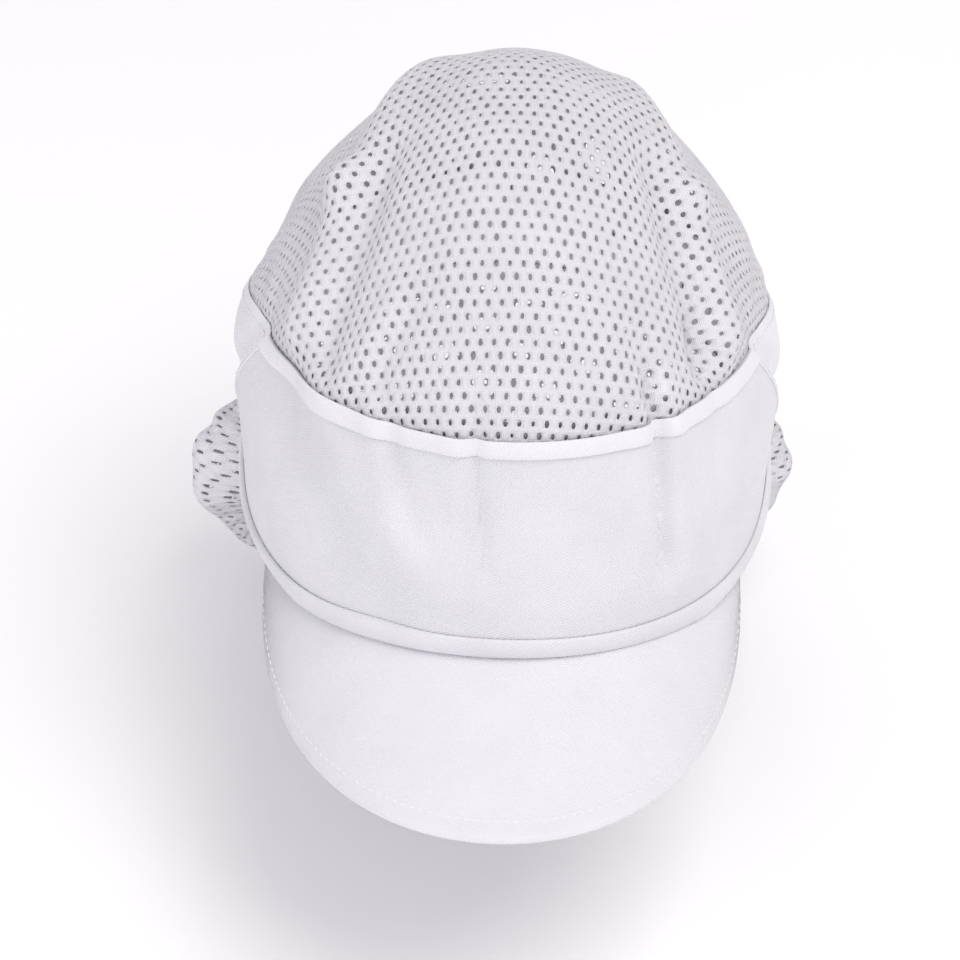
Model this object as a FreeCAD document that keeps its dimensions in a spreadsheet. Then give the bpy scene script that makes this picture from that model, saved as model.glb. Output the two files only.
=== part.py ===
"""Peaked snood cap: mesh crown on a twill band, stiffened peak in front, mesh hair snood behind.

Frame: millimetres, +Z up, the wearer faces -Y and the wearer's left is +X.
Origin: centre of the head opening, in the plane of the band's lower edge.
"""
import FreeCAD, Part
import os
from FreeCAD import Placement, Rotation, Vector

os.makedirs("parts", exist_ok=True)
doc = FreeCAD.newDocument("SnoodCap")
sheet = doc.addObject("Spreadsheet::Sheet", "Sizes")

# ---------------------------------------------------------------- driving dimensions (mm, degrees)
SIZES = {
    # cap form: height, half width, front and rear of each level, from hem to crown
    "lvl_hem_z": -5, "lvl_hem_w": 86, "lvl_hem_f": -103, "lvl_hem_b": 103,
    "lvl_edge_z": 0, "lvl_edge_w": 86, "lvl_edge_f": -103, "lvl_edge_b": 103,
    "lvl_seam_z": 12, "lvl_seam_w": 86, "lvl_seam_f": -103, "lvl_seam_b": 104,
    "lvl_side_z": 50, "lvl_side_w": 85, "lvl_side_f": -90, "lvl_side_b": 107,
    "lvl_panel_z": 80, "lvl_panel_w": 75, "lvl_panel_f": -79, "lvl_panel_b": 104,
    "lvl_low_z": 102, "lvl_low_w": 58, "lvl_low_f": -62, "lvl_low_b": 89,
    "lvl_mid_z": 118, "lvl_mid_w": 45, "lvl_mid_f": -42, "lvl_mid_b": 73,
    "lvl_high_z": 130, "lvl_high_w": 31, "lvl_high_f": -22, "lvl_high_b": 56,
    "lvl_top_z": 139.5, "lvl_top_w": 14, "lvl_top_f": 2, "lvl_top_b": 38,
    # depths under the outside of the cap form; negative stands proud of it
    "roll_face": -1.2, "hem_face": -0.7, "thread_face": -0.4, "clear_face": -0.05,
    "ply_face": 0, "ply_back": 0.9, "core_face": 1.0, "core_back": 1.7,
    "lining_face": 1.8, "lining_back": 2.4, "inner_face": 2.6, "tape_back": 3.2,
    "sweat_back": 4.0, "mesh_face": 0.2, "mesh_back": 1.2,
    "label_face": 3.4, "label_back": 3.7,
    # band pieces
    "seam_foot_y": 15, "seam_lean": 0.49,
    "panel_top_z": 79, "panel_top_radius": 285, "piece_gap": 0.15,
    "side_front_y": -48, "side_rear_z": 44, "side_slope": 0.36, "nape_top_z": 40, "nape_start_y": 62,
    "hem_height": 5, "roll_height": 5.5, "thread_width": 0.6, "thread_inset": 3,
    "sweat_foot_z": 2, "sweat_head_z": 34, "sweat_end_y": -20, "thread_end": 2, "end_clear": 1,
    "tape_half": 5, "snood_tape_top": 8,
    "nape_elastic_low": 7, "nape_elastic_high": 31, "nape_hem": 1,
    "tack_long": 9, "tack_wide": 2.4, "tack_low_z": 6, "tack_high_z": 22,
    "label_x": 32, "label_width": 26, "label_z": 9, "label_height": 18,
    # peak
    "peak_arch_radius": 101, "peak_slope": 20, "seam_front_y": -103, "seam_front_z": 12,
    "peak_half": 77, "peak_long": 107, "peak_centre_y": -55, "peak_root_clear": 1.7,
    "peak_root_y": -40, "peak_cover_thick": 0.8, "peak_board_face": 0.9,
    "peak_board_back": 2.1, "peak_under_face": 2.2, "peak_under_back": 3.0,
    "peak_board_inset": 2, "peak_stitch_inset": 6.5, "peak_edge_clear": 0.4,
    # snood: height, half width, centre and half depth of each level
    "bag_lip_z": -0.6, "bag_lip_w": 85.5, "bag_lip_c": 17.5, "bag_lip_d": 85,
    "bag_swell_z": -20, "bag_swell_w": 98, "bag_swell_c": 24, "bag_swell_d": 85,
    "bag_wide_z": -45, "bag_wide_w": 102, "bag_wide_c": 37, "bag_wide_d": 72,
    "bag_low_z": -70, "bag_low_w": 88, "bag_low_c": 44, "bag_low_d": 59,
    "bag_floor_z": -88, "bag_floor_w": 56, "bag_floor_c": 50, "bag_floor_d": 38,
    "bag_face": 0, "bag_back": 0.9, "casing_face": -0.6, "casing_back": 1.8,
    "pocket_face": 0.0, "pocket_back": 1.2, "bag_elastic_face": 0.15, "bag_elastic_back": 1.05,
    "bag_mouth_y": 30, "casing_width": 11, "pocket_inset": 2, "bag_elastic_width": 6.5,
    # reach of the plain blocks that trim the pieces
    "reach": 140,
}
for row, (alias, value) in enumerate(SIZES.items(), start=1):
    sheet.set(f"A{row}", alias)
    sheet.set(f"B{row}", str(value))
    sheet.setAlias(f"B{row}", alias)
doc.recompute()


# ---------------------------------------------------------------- small builders
def bind(obj, **expressions):
    """Bind properties of an object to formulas over the sheet; __ stands for a dot."""
    for prop, formula in expressions.items():
        obj.setExpression(prop.replace("__", "."), formula)
    return obj


def size(alias):
    """The sheet's formula name for one driving dimension."""
    return f"Sizes.{alias}"


def box(name, x_low, x_high, y_low, y_high, z_low, z_high):
    """A block between six formulas."""
    block = doc.addObject("Part::Box", name)
    return bind(
        block,
        Length=f"({x_high}) - ({x_low})", Width=f"({y_high}) - ({y_low})",
        Height=f"({z_high}) - ({z_low})",
        Placement__Base__x=x_low, Placement__Base__y=y_low, Placement__Base__z=z_low,
    )


def cut(name, base, tool):
    """base without tool."""
    result = doc.addObject("Part::Cut", name)
    result.Base, result.Tool = base, tool
    return result


def common(name, first, second):
    """What first and second share."""
    result = doc.addObject("Part::Common", name)
    result.Base, result.Tool = first, second
    return result


def fuse(name, *shapes):
    """All shapes as one."""
    result = doc.addObject("Part::MultiFuse", name)
    result.Shapes = list(shapes)
    return result


NODES = []


def node(label, shape):
    """Name a finished piece: its label is its file's name."""
    shape.Label = label
    NODES.append(shape)
    return shape


# ---------------------------------------------------------------- the cap's form and its layers
CAP_LEVELS = ["hem", "edge", "seam", "side", "panel", "low", "mid", "high", "top"]
BAG_LEVELS = ["lip", "swell", "wide", "low", "floor"]
forms = {}


def cap_form(depth):
    """The closed egg of the cap, taken in by one depth."""
    if depth in forms:
        return forms[depth]
    rings = []
    for level in CAP_LEVELS:
        ring = doc.addObject("Part::Ellipse", f"ring_{depth}_{level}")
        ring.Placement = Placement(Vector(0, 0, 0), Rotation(Vector(0, 0, 1), 90))
        key = f"lvl_{level}"
        crown_drop = f" - {size(depth)}" if level == "top" else ""
        bind(
            ring,
            MajorRadius=f"({size(key + '_b')} - {size(key + '_f')}) / 2 - {size(depth)}",
            MinorRadius=f"{size(key + '_w')} - {size(depth)}",
            Placement__Base__y=f"({size(key + '_b')} + {size(key + '_f')}) / 2",
            Placement__Base__z=size(key + "_z") + crown_drop,
        )
        rings.append(ring)
    form = doc.addObject("Part::Loft", f"form_{depth}")
    form.Sections = rings
    form.Solid = True
    forms[depth] = form
    return form


def layer(face, back):
    """The shell of the cap form between two depths."""
    name = f"layer_{face}_{back}"
    if name not in forms:
        forms[name] = cut(name, cap_form(face), cap_form(back))
    return forms[name]


def bag_form(depth):
    """The closed bag of the snood, taken in by one depth."""
    if depth in forms:
        return forms[depth]
    rings = []
    for level in BAG_LEVELS:
        key = f"bag_{level}"
        ring = doc.addObject("Part::Ellipse", f"bag_{depth}_{level}")
        floor_lift = f" + {size(depth)}" if level == "floor" else ""
        bind(
            ring,
            MajorRadius=f"{size(key + '_w')} - {size(depth)}",
            MinorRadius=f"{size(key + '_d')} - {size(depth)}",
            Placement__Base__y=size(key + "_c"),
            Placement__Base__z=size(key + "_z") + floor_lift,
        )
        rings.append(ring)
    form = doc.addObject("Part::Loft", f"bagform_{depth}")
    form.Sections = rings
    form.Solid = True
    forms[depth] = form
    return form


# ---------------------------------------------------------------- regions that trim the layers
FAR = size("reach")


def peak_cylinder(name, radius):
    """A round bar along the peak's slope, coaxial with the peak's arch."""
    bar = doc.addObject("Part::Cylinder", name)
    slope = f"({size('peak_slope')} * 1 deg)"
    bar.Placement = Placement(Vector(0, 0, 0), Rotation(Vector(1, 0, 0), 90 + SIZES["peak_slope"]))
    return bind(
        bar,
        Radius=radius, Height=f"2 * {FAR}",
        Placement__Base__y=f"{size('seam_front_y')} + {size('peak_arch_radius')} * sin({slope})"
                           f" + {FAR} * cos({slope})",
        Placement__Base__z=f"{size('seam_front_z')} - {size('peak_arch_radius')} * cos({slope})"
                           f" + {FAR} * sin({slope})",
    )


def top_arc(name, rise):
    """The round bar under the front panel's arched top edge, raised by a formula."""
    bar = doc.addObject("Part::Cylinder", name)
    bar.Placement = Placement(Vector(0, 0, 0), Rotation(Vector(1, 0, 0), 90))
    return bind(
        bar,
        Radius=f"{size('panel_top_radius')} + ({rise})", Height=f"2 * {FAR}",
        Placement__Base__y=FAR,
        Placement__Base__z=f"{size('panel_top_z')} - {size('panel_top_radius')}",
    )


def front_region(name, grow, rise):
    """What lies in front of the slanted side seams and under the top edge, grown and raised."""
    wedge = doc.addObject("Part::Wedge", name + "_wedge")
    wedge.Placement = Placement(Vector(0, 0, 0), Rotation(Vector(1, 1, 1), 120))
    foot = f"{size('seam_foot_y')} + ({grow})"
    bind(
        wedge,
        Xmin=f"-{FAR}", X2min=f"-{FAR}", Xmax=foot, X2max=f"{foot} - {size('seam_lean')} * {FAR}",
        Ymin="0", Ymax=FAR,
        Zmin=f"-{FAR}", Z2min=f"-{FAR}", Zmax=FAR, Z2max=FAR,
    )
    return common(name, wedge, top_arc(name + "_arc", rise))


def side_region(name, rise):
    """The block that holds the two side bands: its top slopes down from front to rear."""
    wedge = doc.addObject("Part::Wedge", name + "_wedge")
    wedge.Placement = Placement(Vector(0, 0, 0), Rotation(Vector(0, 1, 0), -90))
    rear = f"{size('side_rear_z')} + ({rise})"
    front = f"{rear} + {size('side_slope')} * ({size('nape_start_y')} - {size('side_front_y')})"
    bind(
        wedge,
        Xmin="0", X2min="0", Xmax=front, X2max=rear,
        Ymin=size("side_front_y"), Ymax=size("nape_start_y"),
        Zmin=f"-{FAR}", Z2min=f"-{FAR}", Zmax=FAR, Z2max=FAR,
    )
    return common(name, wedge, top_arc(name + "_arc", rise))


def nape_region(name, rise):
    """The block that holds the casing at the nape."""
    return box(name, f"-{FAR}", FAR, size("nape_start_y"), FAR, "0",
               f"{size('nape_top_z')} + ({rise})")


GAP = size("piece_gap")
panel_region = front_region("panel_region", "0", "0")
panel_room = front_region("panel_room", GAP, GAP)
arch_room = peak_cylinder("arch_room", f"{size('peak_arch_radius')} + {size('peak_edge_clear')}")
arch_roll = peak_cylinder("arch_roll", f"{size('peak_arch_radius')} + {size('roll_height')}")

# ---------------------------------------------------------------- front panel: three plies
for label, face, back in (
    ("front_panel_outer", "ply_face", "ply_back"),
    ("front_panel_interlining", "core_face", "core_back"),
    ("front_panel_lining", "lining_face", "lining_back"),
):
    blank = common(label + "_blank", layer(face, back), panel_region)
    node(label, cut(label, blank, arch_room))

hem_strip = cut("hem_strip_region", panel_region, top_arc("hem_under", f"-{size('hem_height')}"))
node("front_hem_strip", common("front_hem_strip", layer("hem_face", "clear_face"), hem_strip))

roll_ring = cut("roll_ring", arch_roll, arch_room)
roll_region = common("roll_region", roll_ring, panel_region)
node("front_lower_roll", common("front_lower_roll", layer("roll_face", "clear_face"), roll_region))

# ---------------------------------------------------------------- side bands, outer ply and lining
for side, low, high in (("right", f"-{FAR}", "0"), ("left", "0", FAR)):
    half = box(f"half_{side}", low, high, f"-{FAR}", f"{size('nape_start_y')} - {GAP}", "0", FAR)
    flank = common(f"flank_{side}", half, side_region(f"slope_{side}", "0"))
    room = cut(f"side_room_{side}", flank, panel_room)
    node(f"side_band_{side}", common(f"side_band_{side}", layer("ply_face", "ply_back"), room))
    node(f"side_lining_{side}",
         common(f"side_lining_{side}", layer("lining_face", "lining_back"), room))

# ---------------------------------------------------------------- nape: casing with its elastic
nape_room = nape_region("nape_room", "0")
tunnel = box("nape_tunnel", f"-{FAR}", FAR,
             f"{size('nape_start_y')} - {size('end_clear')}", FAR,
             f"{size('nape_elastic_low')} - {size('nape_hem')}",
             f"{size('nape_elastic_high')} + {size('nape_hem')}")
tunnel_room = common("nape_tunnel_room", layer("ply_back", "lining_face"), tunnel)
tunnel_room.Refine = False
casing_block = common("nape_casing_block", layer("ply_face", "lining_back"), nape_room)
node("nape_casing", cut("nape_casing", casing_block, tunnel_room))
elastic_block = box("nape_elastic_block", f"-{FAR}", FAR,
                    f"{size('nape_start_y')} + {size('end_clear')}", FAR,
                    size("nape_elastic_low"), size("nape_elastic_high"))
node("nape_elastic", common("nape_elastic", layer("core_face", "core_back"), elastic_block))

# ---------------------------------------------------------------- mesh crown above the bands
band_room = fuse("band_room", side_region("side_room_all", GAP), nape_region("nape_room_all", GAP),
                 panel_room)
crown_block = box("crown_block", f"-{FAR}", FAR, f"-{FAR}", FAR, size("nape_top_z"),
                  f"2 * {FAR}")
crown_blank = common("crown_blank", layer("mesh_face", "mesh_back"), crown_block)
node("crown_mesh", cut("crown_mesh", crown_blank, band_room))


def seam_line(name, rise):
    """Everything under the crown seam, raised by a formula."""
    return fuse(name, side_region(name + "_side", rise), nape_region(name + "_nape", rise),
                front_region(name + "_front", rise, rise))


tape_ring = cut("tape_ring", seam_line("tape_over", size("tape_half")),
                seam_line("tape_under", f"-{size('tape_half')}"))
node("crown_seam_tape", common("crown_seam_tape", layer("inner_face", "tape_back"), tape_ring))

# ---------------------------------------------------------------- linings inside the band
sweat_block = box("sweat_block", f"-{FAR}", FAR, f"-{FAR}", size("sweat_end_y"), size("sweat_foot_z"),
                  size("sweat_head_z"))
sweat_blank = common("sweat_blank", layer("inner_face", "sweat_back"), sweat_block)
node("sweatband", cut("sweatband", sweat_blank, arch_room))

snood_tape_block = box("snood_tape_block", f"-{FAR}", FAR, "0", FAR, "0", size("snood_tape_top"))
node("snood_seam_tape",
     common("snood_seam_tape", layer("inner_face", "tape_back"), snood_tape_block))

label_block = box("label_block", size("label_x"), f"{size('label_x')} + {size('label_width')}",
                  "0", FAR, size("label_z"), f"{size('label_z')} + {size('label_height')}")
node("care_label", common("care_label", layer("label_face", "label_back"), label_block))

# ---------------------------------------------------------------- topstitching and bar tacks
thread_layer = layer("thread_face", "clear_face")
inset, thread = size("thread_inset"), size("thread_width")
foot_line = box("foot_thread", f"-{FAR}", FAR, f"-{FAR}",
                f"{size('nape_start_y')} - {size('thread_end')}",
                inset, f"{inset} + {thread}")
slope_line = cut("slope_thread", side_region("slope_thread_over", f"{thread} - {inset}"),
                 side_region("slope_thread_under", f"-{inset}"))
nape_line = box("nape_thread", f"-{FAR}", FAR, f"{size('nape_start_y')} + {size('thread_end')}", FAR,
                f"{size('nape_top_z')} - {inset}", f"{size('nape_top_z')} - {inset} + {thread}")
outside_lines = cut("outside_lines", fuse("outside_lines_set", foot_line, slope_line, nape_line),
                    front_region("stitch_room", inset, inset))
node("band_topstitching", common("band_topstitching", thread_layer, outside_lines))

tacks = []
for side, sign in (("right", -1), ("left", 1)):
    for name in ("low", "high"):
        foot_z = size(f"tack_{name}_z")
        low_x, high_x = ("-" + FAR, "0") if sign < 0 else ("0", FAR)
        tacks.append(box(f"tack_{side}_{name}", low_x, high_x,
                         f"{size('nape_start_y')} - {size('tack_wide')} / 2",
                         f"{size('nape_start_y')} + {size('tack_wide')} / 2",
                         foot_z, f"{foot_z} + {size('tack_long')}"))
node("bar_tacks", common("bar_tacks", thread_layer, fuse("tack_set", *tacks)))


# ---------------------------------------------------------------- peak: covers, board, stitching
def upright_ellipse(name, half_width, half_length, centre_y):
    """A tall elliptical block about a vertical axis."""
    outline = doc.addObject("Part::Ellipse", name + "_outline")
    outline.Placement = Placement(Vector(0, 0, 0), Rotation(Vector(0, 0, 1), 90))
    bind(outline, MajorRadius=half_length, MinorRadius=half_width,
         Placement__Base__y=centre_y, Placement__Base__z=f"-{FAR} / 2")
    block = doc.addObject("Part::Extrusion", name)
    block.Base = outline
    block.Dir = Vector(0, 0, 1)
    block.Solid = True
    return bind(block, LengthFwd=FAR)


root_clear = size("peak_root_clear")
peak_root = upright_ellipse("peak_root", f"{size('lvl_edge_w')} + {root_clear}",
                            f"{size('lvl_edge_b')} + {root_clear}", "0")
peak_front = box("peak_front", f"-{FAR}", FAR, f"-2 * {FAR}", size("peak_root_y"),
                 f"-{FAR} / 2", f"{FAR} / 2")


def peak_outline(name, inset_by):
    """The peak's outline from above, taken in from its free edge."""
    whole = upright_ellipse(name + "_whole", f"{size('peak_half')} - ({inset_by})",
                            f"{size('peak_long')} - ({inset_by})", size("peak_centre_y"))
    return common(name, cut(name + "_open", whole, peak_root), peak_front)


def peak_layer(name, face, back):
    """The arched sheet between two depths under the peak's upper side."""
    arch = size("peak_arch_radius")
    return cut(name, peak_cylinder(name + "_face", f"{arch} - ({face})"),
               peak_cylinder(name + "_back", f"{arch} - ({back})"))


full_outline = peak_outline("peak_outline", "0")
board_outline = peak_outline("board_outline", size("peak_board_inset"))
for label, face, back, outline in (
    ("peak_upper_cover", "0", size("peak_cover_thick"), full_outline),
    ("peak_board", size("peak_board_face"), size("peak_board_back"), board_outline),
    ("peak_under_cover", size("peak_under_face"), size("peak_under_back"), full_outline),
):
    node(label, common(label, peak_layer(label + "_sheet", face, back), outline))

stitch_ring = cut("peak_stitch_ring", peak_outline("stitch_out", size("peak_stitch_inset")),
                  peak_outline("stitch_in", f"{size('peak_stitch_inset')} + {thread}"))
stitch_sheet = peak_layer("stitch_sheet", size("thread_face"), size("clear_face"))
node("peak_edge_stitching", common("peak_edge_stitching", stitch_sheet, stitch_ring))


# ---------------------------------------------------------------- snood: mesh bag, casing, elastic
def bag_shell(face, back):
    """The wall of the bag between two depths."""
    return cut(f"bag_{face}_{back}", bag_form(face), bag_form(back))


def mouth_slab(name, start, width):
    """A slab behind the plane of the bag's mouth."""
    return box(name, f"-{FAR}", FAR, f"{size('bag_mouth_y')} + ({start})",
               f"{size('bag_mouth_y')} + ({start}) + ({width})", f"-{FAR}", size("bag_lip_z"))


casing_width = size("casing_width")
bag_rest = mouth_slab("bag_rest", f"{casing_width} + {GAP}", FAR)
node("snood_mesh", common("snood_mesh", bag_shell("bag_face", "bag_back"), bag_rest))

casing_blank = common("snood_casing_blank", bag_shell("casing_face", "casing_back"),
                      mouth_slab("casing_slab", "0", casing_width))
pocket = common("snood_pocket", bag_shell("pocket_face", "pocket_back"),
                mouth_slab("pocket_slab", size("pocket_inset"),
                           f"{casing_width} - 2 * {size('pocket_inset')}"))
node("snood_hem_casing", cut("snood_hem_casing", casing_blank, pocket))

bag_elastic = common("snood_elastic_strip", bag_shell("bag_elastic_face", "bag_elastic_back"),
                     mouth_slab("elastic_slab", f"{size('pocket_inset')} + {GAP}",
                                size("bag_elastic_width")))
node("snood_hem_elastic", bag_elastic)

# ---------------------------------------------------------------- build, check and write
doc.recompute()
for obj in doc.Objects:
    if "Invalid" in obj.State or "Error" in obj.State:
        raise RuntimeError(f"{obj.Name}: {obj.State}")
for piece in NODES:
    shape = piece.Shape
    if shape.isNull() or not shape.isValid() or not shape.Solids:
        raise RuntimeError(f"{piece.Label} has no valid solid")
for piece in NODES:
    shape = piece.Shape
    span = shape.optimalBoundingBox()
    shape.exportStep(f"parts/{piece.Label}.step")
    print(f"{piece.Label:26s} {len(shape.Solids)} solids {shape.Volume / 1000:8.2f} cm3 "
          f"x {span.XMin:7.1f} {span.XMax:7.1f}  y {span.YMin:7.1f} {span.YMax:7.1f}  "
          f"z {span.ZMin:7.1f} {span.ZMax:7.1f}")
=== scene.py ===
"""Looks of the peaked snood cap: knitted mesh crown, twill band, stiffened peak, mesh snood."""
import math
import bpy
import numpy as np
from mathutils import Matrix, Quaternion, Vector
from mathutils.bvhtree import BVHTree


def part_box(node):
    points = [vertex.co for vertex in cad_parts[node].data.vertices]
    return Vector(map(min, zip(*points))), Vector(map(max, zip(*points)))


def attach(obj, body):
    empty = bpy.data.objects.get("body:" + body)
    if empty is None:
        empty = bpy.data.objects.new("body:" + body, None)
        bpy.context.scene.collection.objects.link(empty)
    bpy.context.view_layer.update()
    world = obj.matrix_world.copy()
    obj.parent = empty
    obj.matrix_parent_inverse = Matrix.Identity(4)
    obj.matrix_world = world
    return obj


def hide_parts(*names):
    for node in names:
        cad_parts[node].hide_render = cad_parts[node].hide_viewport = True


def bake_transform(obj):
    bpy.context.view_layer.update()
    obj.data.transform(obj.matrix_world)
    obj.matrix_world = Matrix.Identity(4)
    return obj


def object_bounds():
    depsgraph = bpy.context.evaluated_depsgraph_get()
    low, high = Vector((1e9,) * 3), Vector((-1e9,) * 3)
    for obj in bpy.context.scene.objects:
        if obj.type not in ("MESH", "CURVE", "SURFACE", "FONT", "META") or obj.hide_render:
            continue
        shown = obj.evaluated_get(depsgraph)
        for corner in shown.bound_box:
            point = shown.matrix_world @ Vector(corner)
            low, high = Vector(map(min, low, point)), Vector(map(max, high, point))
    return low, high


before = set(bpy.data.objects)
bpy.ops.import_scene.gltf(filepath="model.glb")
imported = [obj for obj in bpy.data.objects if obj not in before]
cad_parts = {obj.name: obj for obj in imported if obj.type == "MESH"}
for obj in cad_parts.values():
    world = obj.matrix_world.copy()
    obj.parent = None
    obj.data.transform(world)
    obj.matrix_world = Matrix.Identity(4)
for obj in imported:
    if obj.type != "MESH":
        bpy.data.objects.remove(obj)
CAD_BOX = [list(corner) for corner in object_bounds()]
MM = 0.001
rng = np.random.default_rng(7)


# ---------------------------------------------------------------- small numeric helpers
def smooth(low, high, value):
    """0 below low, 1 above high, and an S between them."""
    s = np.clip((value - low) / (high - low), 0, 1)
    return s * s * (3 - 2 * s)


def bump(value, centre, width):
    """A bell of height 1 about centre."""
    return np.exp(-(((value - centre) / width) ** 2))


def along(a, b, start, end, width, fade=6.0):
    """A bell across the line from start to end in the (a, b) plane, fading past its ends."""
    start, end = np.array(start, float), np.array(end, float)
    run = end - start
    length = np.hypot(*run)
    run = run / length
    s = (a - start[0]) * run[0] + (b - start[1]) * run[1]
    off = (a - start[0]) * run[1] - (b - start[1]) * run[0]
    return np.exp(-((off / width) ** 2)) * smooth(-fade, 0, s) * smooth(-fade, 0, length - s)


class Field:
    """Columns of numbers over an even grid, read smoothly at any place."""

    def __init__(self, table, a_low, a_step, b_low, b_step):
        self.table = table if table.ndim == 3 else table[:, :, None]
        self.grid = a_low, a_step, b_low, b_step

    def at(self, a, b):
        a_low, a_step, b_low, b_step = self.grid
        found = 0
        weights, places = [], []
        for value, low, step, count in ((a, a_low, a_step, self.table.shape[0]),
                                        (b, b_low, b_step, self.table.shape[1])):
            f = np.clip((np.asarray(value, float) - low) / step, 0, count - 1.0001)
            i = np.floor(f).astype(int)
            f = f - i
            weights.append(((1 - f) ** 3 / 6, (3 * f**3 - 6 * f**2 + 4) / 6,
                            (-3 * f**3 + 3 * f**2 + 3 * f + 1) / 6, f**3 / 6))
            places.append([np.clip(i + k, 0, count - 1) for k in (-1, 0, 1, 2)])
        for wa, ia in zip(weights[0], places[0]):
            for wb, ib in zip(weights[1], places[1]):
                found = found + (wa * wb)[..., None] * self.table[ia, ib]
        return found


def noise_field(a_low, a_high, b_low, b_high, step):
    """Smooth seeded noise about zero."""
    shape = int((a_high - a_low) / step) + 2, int((b_high - b_low) / step) + 2
    return Field(rng.normal(0, 1, shape), a_low, step, b_low, step)


def tree_of(*nodes):
    """A ray target made of CAD nodes, in mm."""
    verts, tris = [], []
    for name in nodes:
        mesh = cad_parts[name].data
        mesh.calc_loop_triangles()
        base = len(verts)
        verts += [v.co / MM for v in mesh.vertices]
        tris += [[base + i for i in t.vertices] for t in mesh.loop_triangles]
    return BVHTree.FromPolygons(verts, tris)


def cast(tree, feet, dirs, reach, least):
    """How far from each foot the tree's outer face lies along a direction; nan where it misses."""
    far = np.full(len(feet), np.nan)
    for k, (foot, way) in enumerate(zip(feet, dirs)):
        hit = tree.ray_cast(Vector(foot + way * reach), Vector(-way))
        if hit[0] is not None and reach - hit[3] > least:
            far[k] = reach - hit[3]
    return far


def fill(table):
    """Fills the gaps of a table from the nearest numbers, down its columns and then its rows."""
    for work in (table, table.T):
        for line in work.T:
            good = np.isfinite(line)
            if good.sum() > 1:
                line[:] = np.interp(np.arange(len(line)), np.flatnonzero(good), line[good])
    return table


def soften(table, times=1):
    """Evens out the facets of a table."""
    for _ in range(times):
        padded = np.pad(table, 1, mode="edge")
        table = (padded[:-2, 1:-1] + padded[2:, 1:-1] + padded[1:-1, :-2] + padded[1:-1, 2:]
                 + 4 * table) / 8
    return table


# ---------------------------------------------------------------- the cap's form, read off the frame
AXIS_Y = 8.0          # the upright line that plan angles turn about
CAP_TREE = tree_of("front_panel_outer", "side_band_left", "side_band_right", "nape_casing", "crown_mesh")
T_STEP, Z_STEP = 2.0, 2.0
t_grid = np.arange(-196, 197, T_STEP)
z_grid = np.arange(1, 96, Z_STEP)


def read_band():
    rows = []
    for z in z_grid:
        t = np.radians(t_grid)
        dirs = np.stack([np.sin(t), -np.cos(t), 0 * t], 1)
        feet = np.tile((0, AXIS_Y, z), (len(t), 1))
        rows.append(cast(CAP_TREE, feet, dirs, 190, 45))
    return Field(soften(fill(np.array(rows)), 2), z_grid[0], Z_STEP, t_grid[0], T_STEP)


BAND = read_band()


def band_base(t, z):
    """A point of the cap's form at plan angle t (degrees from the front) and height z."""
    radius = BAND.at(z, t)[..., 0]
    a = np.radians(t)
    return np.stack([radius * np.sin(a), AXIS_Y - radius * np.cos(a), z + 0 * radius], -1)


PANEL_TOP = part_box("front_panel_outer")[1].z / MM
ARC_RADIUS = 285.0                        # arch of the front panel's top edge, seen from the front
NAPE_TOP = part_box("nape_casing")[1].z / MM
NAPE_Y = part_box("nape_casing")[0].y / MM  # where the nape casing meets the side bands
SIDE_RISE = 0.36                          # how steeply the crown seam climbs along the side bands
SEAM_FOOT_Y, SEAM_LEAN = 15.0, 0.49       # the slanted seam at each side of the front panel
ARCH_RADIUS, PEAK_SLOPE = 101.0, math.radians(20)
ROOT_Y, ROOT_Z = -103.0, 12.0             # middle of the seam of peak and panel


def seam_z(x, y):
    """Height of the crown seam at a place in plan."""
    arc = PANEL_TOP - x**2 / (2 * ARC_RADIUS)
    rear = NAPE_TOP + 4 * (1 - smooth(56, 66, y))
    side = rear + SIDE_RISE * np.clip(NAPE_Y - y, 0, None)
    return np.minimum(arc, side)


def arch_z(x, y, rise=0.0):
    """Height of the peak's upper side, raised square to it."""
    drop = (ARCH_RADIUS + rise) - np.sqrt(np.clip((ARCH_RADIUS + rise) ** 2 - x**2, 1, None))
    return (ROOT_Z + (y - ROOT_Y) * math.tan(PEAK_SLOPE)
            + (rise - drop) / math.cos(PEAK_SLOPE))


band_noise = noise_field(-200, 200, -20, 110, 26)
ply_noise = noise_field(-200, 200, -20, 110, 9)
FOLD = 1.35          # how strongly the band is creased


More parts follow.
